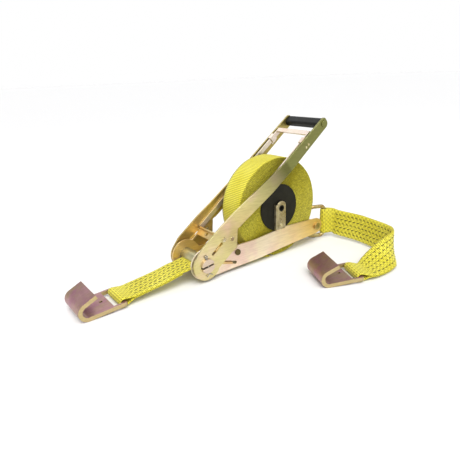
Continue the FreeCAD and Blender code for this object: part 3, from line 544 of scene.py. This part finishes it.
def webbing_material(name, pebble=0.0, quilted=0.0):
    """Yellow polyester: cross ribs and fine lengthwise yarns with painted shade in their grooves, a darker
    selvedge, and uneven tone with dark speckle on the sides of a roll.
    """
    s = Shader(name)
    uv = s.node("ShaderNodeUVMap", uv_map="webbing")
    split = s.node("ShaderNodeSeparateXYZ")
    s.link(uv.outputs[0], split.inputs[0])
    across, along = split.outputs[0], split.outputs[1]
    drift = s.noise(uv.outputs[0], 140, 2)
    shifted = s.math("ADD", along, s.math("MULTIPLY", drift, 0.4 * MM))
    yarn_number = s.math("MULTIPLY", across, 2 * math.pi / (3.1 * MM))
    yarn = s.math("SINE", yarn_number)
    rib_phase = s.math("MULTIPLY", shifted, 2 * math.pi / RIB_PITCH)
    rib_phase = s.math("ADD", rib_phase, s.math("MULTIPLY", yarn, 0.5))
    rib = s.spread(s.math("SINE", rib_phase), -1, 1)
    fine = s.spread(s.math("SINE", s.math("MULTIPLY", across, 2 * math.pi / (0.95 * MM))), -1, 1)
    object_place = s.place()
    pebbles = s.noise(object_place, 520, 2, 0.6)
    weave = s.math("ADD", s.math("MULTIPLY", rib, 0.62), s.math("MULTIPLY", fine, 0.22))
    weave = s.math("ADD", weave, s.math("MULTIPLY", pebbles, 0.3))
    # quilt dips at the stitches, which also deepen the painted shade below
    quilt_across = s.math("SINE", s.math("MULTIPLY", across, 2 * math.pi / (8.2 * MM)))
    quilt_along = s.math("SINE", s.math("MULTIPLY", along, 2 * math.pi / STITCH_PITCH))
    quilt = s.math("MULTIPLY", s.math("MULTIPLY", quilt_across, quilt_along), 0.3 * quilted)
    weave = s.math("ADD", weave, quilt)
    broad = s.noise(object_place, 22, 4, 0.6)
    bright = srgb(244, 236, 92)
    deep = srgb(224, 212, 50)
    shade = srgb(134, 122, 14)
    colour = s.mix(s.spread(broad, 0.3, 0.72), deep, bright)
    # painted shade: the grooves of the weave and the puckers round the stitches are darkened toward the shade
    # colour
    groove_shade = s.spread(weave, 0.70, 0.20, 0.0, 0.85)
    colour = s.mix(groove_shade, colour, shade)
    coordinates = s.node("ShaderNodeTexCoord")
    facing = s.node("ShaderNodeSeparateXYZ")
    s.link(coordinates.outputs["Normal"], facing.inputs[0])
    sideways = s.spread(s.math("ABSOLUTE", facing.outputs[1]), 0.45, 0.8, 0.0, pebble)
    speckle = s.spread(s.noise(object_place, 300, 3, 0.75), 0.44, 0.62)
    colour = s.mix(s.math("MULTIPLY", speckle, sideways), colour, shade)
    edge_distance = s.math("ABSOLUTE", s.math("SUBTRACT", across, WIDTH / 2))
    selvedge = s.spread(edge_distance, WIDTH / 2 - 1.6 * MM, WIDTH / 2 - 0.6 * MM, 0.0, 0.35)
    colour = s.mix(selvedge, colour, deep)
    s.link(colour, s.principled.inputs["Base Color"])
    s.link(s.spread(pebbles, 0.2, 0.8, 0.62, 0.82), s.principled.inputs["Roughness"])
    s.set(Sheen_Weight=0.25, Sheen_Roughness=0.4, Specular_IOR_Level=0.35)
    s.principled.inputs["Sheen Tint"].default_value = (1.0, 0.97, 0.6, 1.0)
    s.link(s.bump(weave, 0.95, 0.6 * MM), s.principled.inputs["Normal"])
    return s.material


def thread_material():
    """Dark stitching thread with a fine twist."""
    s = Shader("dark_thread")
    twist = s.noise(s.place(), 2600, 2)
    colour = s.mix(s.spread(twist, 0.3, 0.7), srgb(34, 34, 16), srgb(78, 76, 30))
    s.link(colour, s.principled.inputs["Base Color"])
    s.set(Roughness=0.7)
    s.link(s.bump(twist, 0.4, 0.1 * MM), s.principled.inputs["Normal"])
    return s.material


def zinc_material(name, colours, rough=0.34, angle=0.0, tint=None, edge=None, patches=9.0):
    """Passivated zinc plating: drifting iridescent patches, drawn streaks, worn bright edges."""
    s = Shader(name)
    place = s.place()
    streak_place = s.place(scale=(0.12, 1, 1), angle=angle)
    patch = s.noise(place, patches, 3, 0.55)
    second = s.noise(place, patches * 2.7, 2, 0.5)
    streak = s.noise(streak_place, 420, 3, 0.6)
    grain = s.noise(place, 1500, 2, 0.6)
    first, middle, last = colours
    colour = s.mix(s.spread(patch, 0.36, 0.6), first, middle)
    colour = s.mix(s.spread(second, 0.46, 0.68), colour, last)
    # on the frame and handle this tint is partly painted reflection over the zinc's hue
    if tint is not None:
        factor, tint_colour = tint(s)
        colour = s.mix(factor, colour, tint_colour)
    colour = s.mix(s.spread(streak, 0.3, 0.75, 0.0, 0.22), colour, srgb(120, 100, 70), "MULTIPLY")
    edge_mask, soft_normal = s.edges(0.7 * MM)
    worn = s.math("MULTIPLY", edge_mask, s.spread(second, 0.25, 0.6, 0.35, 0.9))
    colour = s.mix(worn, colour, edge or srgb(226, 206, 150))
    s.link(colour, s.principled.inputs["Base Color"])
    roughness = s.math("ADD", s.spread(grain, 0.2, 0.8, rough - 0.07, rough + 0.09),
                       s.spread(patch, 0.3, 0.7, -0.03, 0.05))
    s.link(roughness, s.principled.inputs["Roughness"])
    s.set(Metallic=0.85)
    relief = s.math("ADD", s.math("MULTIPLY", streak, 0.6), s.math("MULTIPLY", grain, 0.4))
    s.link(s.bump(relief, 0.22, 0.12 * MM, soft_normal), s.principled.inputs["Normal"])
    return s.material


def plastic_material(name, colour, rough, grain_size):
    """Moulded plastic with a fine grain, slightly scuffed along its edges."""
    s = Shader(name)
    place = s.place()
    grain = s.noise(place, grain_size, 3, 0.6)
    scuff = s.noise(place, 60, 4, 0.65)
    edge_mask, soft_normal = s.edges(0.8 * MM)
    lighter = tuple(min(1.0, c * 2.4 + 0.012) for c in colour[:3]) + (1.0,)
    tone = s.mix(s.spread(scuff, 0.45, 0.8, 0.0, 0.5), colour, lighter)
    tone = s.mix(s.math("MULTIPLY", edge_mask, 0.55), tone, lighter)
    s.link(tone, s.principled.inputs["Base Color"])
    s.link(s.spread(scuff, 0.3, 0.8, rough - 0.08, rough + 0.14), s.principled.inputs["Roughness"])
    s.set(Specular_IOR_Level=0.2)
    s.link(s.bump(grain, 0.35, 0.12 * MM, soft_normal), s.principled.inputs["Normal"])
    return s.material


def steel_material(name, colour, rough):
    """Plain steel with fine drawing marks."""
    s = Shader(name)
    place = s.place()
    marks = s.noise(place, 900, 3, 0.6)
    tone = s.mix(s.spread(marks, 0.3, 0.7), colour, tuple(c * 0.6 for c in colour[:3]) + (1.0,))
    s.link(tone, s.principled.inputs["Base Color"])
    s.link(s.spread(marks, 0.2, 0.8, rough - 0.06, rough + 0.1), s.principled.inputs["Roughness"])
    s.set(Metallic=0.95)
    s.link(s.bump(marks, 0.2, 0.08 * MM), s.principled.inputs["Normal"])
    return s.material


def from_place(s, direction, origin):
    """Distance along a direction from an origin."""
    made = s.node("ShaderNodeVectorMath", operation="DOT_PRODUCT")
    s.link(s.place(), made.inputs[0])
    made.inputs[1].default_value = direction
    return s.math("SUBTRACT", made.outputs["Value"], origin.dot(direction))


def far_side(s, strength):
    """Grows to strength on the side of the ratchet away from the fixed strap."""
    # mask for the far side's gold, which is partly painted reflection
    return s.spread(from_place(s, ACROSS, MANDREL), 0.018, 0.026, 0.0, strength)


def frame_hue_and_reflection(low, high):
    """Golden towards the rear end and on the far plate: partly the zinc's passivation hue and partly painted
    reflection.
    """
    def tint(s):
        along = from_place(s, Vector((1, 0, 0)), Vector((0, 0, 0)))
        rear = s.spread(along, low, high, 0.0, 0.85)
        return s.math("MAXIMUM", rear, far_side(s, 0.75)), srgb(240, 204, 116)
    return tint


def handle_hue_and_reflection(s):
    """Olive up the arm, darkest just below its crank, and golden on the far arm: partly the zinc's
    passivation hue and partly painted reflection.
    """
    up_arm = from_place(s, HANDLE_DIRECTION, MANDREL)
    below = s.spread(up_arm, 0.115, 0.208, 0.0, 1.0)
    above = s.spread(up_arm, 0.216, 0.221, 0.0, 1.0)
    # painted reflection: the olive up the near arm and the gold on the far arm, laid over the zinc's own hue
    olive = s.mix(above, srgb(86, 88, 36), srgb(116, 120, 60))
    far = s.math("MULTIPLY", far_side(s, 0.75), s.spread(up_arm, 0.17, 0.24, 1.0, 0.5))
    colour = s.mix(far, olive, srgb(222, 184, 100))
    return s.math("MAXIMUM", s.math("MULTIPLY", below, 0.92), far), colour


def edge_faces(s):
    """Pale gold on the sheared edges of a plate, which face across the ratchet."""
    coordinates = s.node("ShaderNodeTexCoord")
    split = s.node("ShaderNodeSeparateXYZ")
    s.link(coordinates.outputs["Normal"], split.inputs[0])
    return s.spread(s.math("ABSOLUTE", split.outputs[1]), 0.72, 0.86, 0.0, 0.85), srgb(206, 188, 132)


def across_ends(inner, outer, colour, strength=1.0):
    """Tint on whatever lies further than a distance from the middle plane of the ratchet."""
    def tint(s):
        distance = s.math("ABSOLUTE", from_place(s, ACROSS, MANDREL))
        return s.spread(distance, inner, outer, 0.0, strength), colour
    return tint


HANDLE_ANGLE = math.atan2(HANDLE_DIRECTION.z, HANDLE_DIRECTION.x)


def make_materials():
    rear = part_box("rear_bolt")[0].x
    return {
        "webbing": webbing_material("webbing_yellow", quilted=1.0),
        "roll": webbing_material("webbing_roll", pebble=0.85),
        "thread": thread_material(),
        "frame": zinc_material(
            "zinc_frame",
            (srgb(246, 230, 206), srgb(248, 236, 202), srgb(240, 212, 196)),
            rough=0.4,
            tint=frame_hue_and_reflection(rear - 0.12, rear - 0.01),
        ),
        "handle": zinc_material(
            "zinc_handle",
            (srgb(226, 214, 150), srgb(216, 204, 142), srgb(232, 208, 172)),
            rough=0.33,
            angle=HANDLE_ANGLE,
            tint=handle_hue_and_reflection,
            edge=srgb(206, 200, 140),
        ),
        "pull_bar": zinc_material(
            "zinc_pull_bar", (srgb(228, 212, 200), srgb(222, 212, 192), srgb(214, 190, 172)), rough=0.3,
            angle=HANDLE_ANGLE,
        ),
        "pawl": zinc_material(
            "zinc_pawl", (srgb(220, 188, 112), srgb(230, 208, 152), srgb(214, 168, 118)), rough=0.3
        ),
        "mandrel": zinc_material(
            "zinc_mandrel", (srgb(168, 168, 132), srgb(200, 196, 156), srgb(146, 142, 112)), rough=0.34,
            tint=across_ends(0.033, 0.036, srgb(224, 202, 182), 0.9),
        ),
        "post": zinc_material(
            "zinc_post", (srgb(196, 182, 150), srgb(214, 204, 170), srgb(168, 154, 118)), rough=0.28,
            patches=40.0,
        ),
        "rivet": zinc_material(
            "zinc_rivet", (srgb(216, 206, 160), srgb(230, 222, 190), srgb(190, 176, 124)), rough=0.2,
            patches=60.0,
        ),
        "hook": zinc_material(
            "zinc_hook",
            (srgb(182, 140, 142), srgb(168, 142, 116), srgb(170, 122, 134)),
            rough=0.42,
            tint=edge_faces,
            edge=srgb(196, 176, 112),
            patches=24.0,
        ),
        "ring": zinc_material(
            "zinc_ring", (srgb(206, 190, 132), srgb(170, 160, 108), srgb(186, 150, 92)), rough=0.26,
            patches=50.0,
        ),
        "dark_steel": steel_material("dull_steel", srgb(112, 100, 62), 0.42),
        "spring": steel_material("spring_wire", srgb(176, 172, 164), 0.3),
        "grip": plastic_material("grip_plastic", srgb(20, 21, 19), 0.45, 900),
        "disc": plastic_material("disc_plastic", srgb(25, 24, 14), 0.6, 1400),
    }


NODE_LOOKS = {
    "frame": ("frame_plate_right", "frame_plate_left", "ring_sleeves", "lock_spring_rod"),
    "post": ("reel_post_right", "reel_post_left"),
    "handle": ("handle_arm_right", "handle_arm_left", "grip_rod"),
    "pull_bar": ("pull_bar", "guide_clips"),
    "pawl": ("drive_pawl", "lock_pawl"),
    "mandrel": ("mandrel_half_upper", "mandrel_half_lower", "ratchet_wheel_right", "ratchet_wheel_left"),
    "rivet": ("post_rivets", "arm_rivets", "clip_rivets"),
    "hook": ("hook_left", "hook_right"),
    "ring": ("d_ring", "ring_bush", "rear_bolt", "rear_nut"),
    "dark_steel": ("frame_spacer_tube",),
    "spring": ("lock_springs", "drive_springs", "mandrel_split_pins"),
    "grip": ("grip_sleeve",),
    "disc": ("reel_hub", "reel_flange_right", "reel_flange_left"),
}
HIDDEN_NODES = ("free_strap", "free_strap_eye", "feed_run", "webbing_in_mandrel", "wound_webbing",
                "fixed_strap", "ring_eye", "hook_eye")


def dress_nodes(materials):
    """Give every CAD node that stays in view its material."""
    dressed = set(HIDDEN_NODES)
    for look, names in NODE_LOOKS.items():
        for name in names:
            mesh = frame["nodes"][name].data
            mesh.materials.clear()
            mesh.materials.append(materials[look])
            mesh.polygons.foreach_set("material_index", [0] * len(mesh.polygons))
            dressed.add(name)
    missing = set(frame["nodes"]) - dressed
    if missing:
        raise RuntimeError(f"nodes with no material: {sorted(missing)}")


def wear(pieces, material, body):
    for piece in pieces:
        piece.data.materials.append(material)
        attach(piece, body)


# Studio

CAMERA_FROM_MANDREL = Vector((-0.3474, -0.5817, 0.2885))
CAMERA_YAW = 35.93
CAMERA_PITCH = -19.58
CAMERA_ROLL = -2.19
CAMERA_LENS = 34.47


def make_camera():
    camera = bpy.data.objects.new("camera", bpy.data.cameras.new("camera"))
    camera.data.lens = CAMERA_LENS
    camera.data.clip_start = 0.01
    yaw, pitch = math.radians(CAMERA_YAW), math.radians(CAMERA_PITCH)
    look = Vector((math.sin(yaw) * math.cos(pitch), math.cos(yaw) * math.cos(pitch), math.sin(pitch)))
    turn = look.to_track_quat("-Z", "Y").to_matrix() @ Matrix.Rotation(math.radians(CAMERA_ROLL), 3, "Z")
    camera.matrix_world = Matrix.Translation(MANDREL + CAMERA_FROM_MANDREL) @ turn.to_4x4()
    bpy.context.scene.collection.objects.link(camera)
    bpy.context.scene.camera = camera


def make_floor():
    """Plain pale floor with the faintest unevenness."""
    reach = 25.0
    corners = [(-reach, -reach), (reach, -reach), (reach, reach), (-reach, reach)]
    floor = new_piece("floor", [(x, y, -0.3 * MM) for x, y in corners], [(0, 1, 2, 3)])
    s = Shader("floor_paper")
    fibre = s.noise(s.place(), 40, 3)
    s.link(s.mix(s.spread(fibre, 0.3, 0.7), (0.86, 0.86, 0.85, 1), (0.88, 0.88, 0.87, 1)),
           s.principled.inputs["Base Color"])
    s.set(Roughness=0.85, Specular_IOR_Level=0.1)
    floor.data.materials.append(s.material)


def soft_light(name, place, target, size, power):
    light = bpy.data.lights.new(name, "AREA")
    light.shape = "RECTANGLE"
    light.size, light.size_y = size
    light.energy = power
    lamp = bpy.data.objects.new(name, light)
    lamp.location = place
    lamp.rotation_mode = "QUATERNION"
    lamp.rotation_quaternion = (target - place).to_track_quat("-Z", "Y")
    bpy.context.scene.collection.objects.link(lamp)


def even_light(name, direction, strength, softness):
    """Sun lamp: the same light all over the floor."""
    light = bpy.data.lights.new(name, "SUN")
    light.energy = strength
    light.angle = math.radians(softness)
    lamp = bpy.data.objects.new(name, light)
    lamp.rotation_mode = "QUATERNION"
    lamp.rotation_quaternion = direction.to_track_quat("-Z", "Y")
    bpy.context.scene.collection.objects.link(lamp)


def make_studio():
    middle = (cad_box[0] + cad_box[1]) / 2
    soft_light("key", middle + Vector((-0.9, -0.7, 1.5)), middle, (0.9, 0.9), 7)
    soft_light("back", middle + Vector((0.4, 1.5, 1.3)), middle, (1.6, 0.7), 5)
    even_light("overhead", Vector((0.25, 0.6, -1)), 2.1, 50)
    world = bpy.data.worlds.new("studio")
    bpy.context.scene.world = world
    world.use_nodes = True
    tree = world.node_tree
    coordinates = tree.nodes.new("ShaderNodeTexCoord")
    split = tree.nodes.new("ShaderNodeSeparateXYZ")
    ramp = tree.nodes.new("ShaderNodeValToRGB")
    tree.links.new(coordinates.outputs["Generated"], split.inputs[0])
    tree.links.new(split.outputs["Z"], ramp.inputs[0])
    ramp.color_ramp.elements[0].position = 0.18
    ramp.color_ramp.elements[0].color = (1.0, 1.0, 1.0, 1)
    ramp.color_ramp.elements[1].position = 0.62
    ramp.color_ramp.elements[1].color = (0.5, 0.5, 0.52, 1)
    background = tree.nodes["Background"]
    tree.links.new(ramp.outputs[0], background.inputs["Color"])
    background.inputs["Strength"].default_value = 1.0
    bpy.context.scene.view_settings.view_transform = "Standard"


materials = make_materials()
dress_nodes(materials)

straps, threads = left_strap()
wear(straps, materials["webbing"], "frame")
wear(threads, materials["thread"], "frame")
wear([mandrel_webbing()], materials["webbing"], "mandrel")
wear([feed_webbing()], materials["webbing"], "frame")
wear([roll_webbing()], materials["roll"], "reel")
straps, threads = fixed_strap()
wear(straps, materials["webbing"], "fixed_strap")
wear(threads, materials["thread"], "fixed_strap")

make_floor()
make_studio()
make_camera()
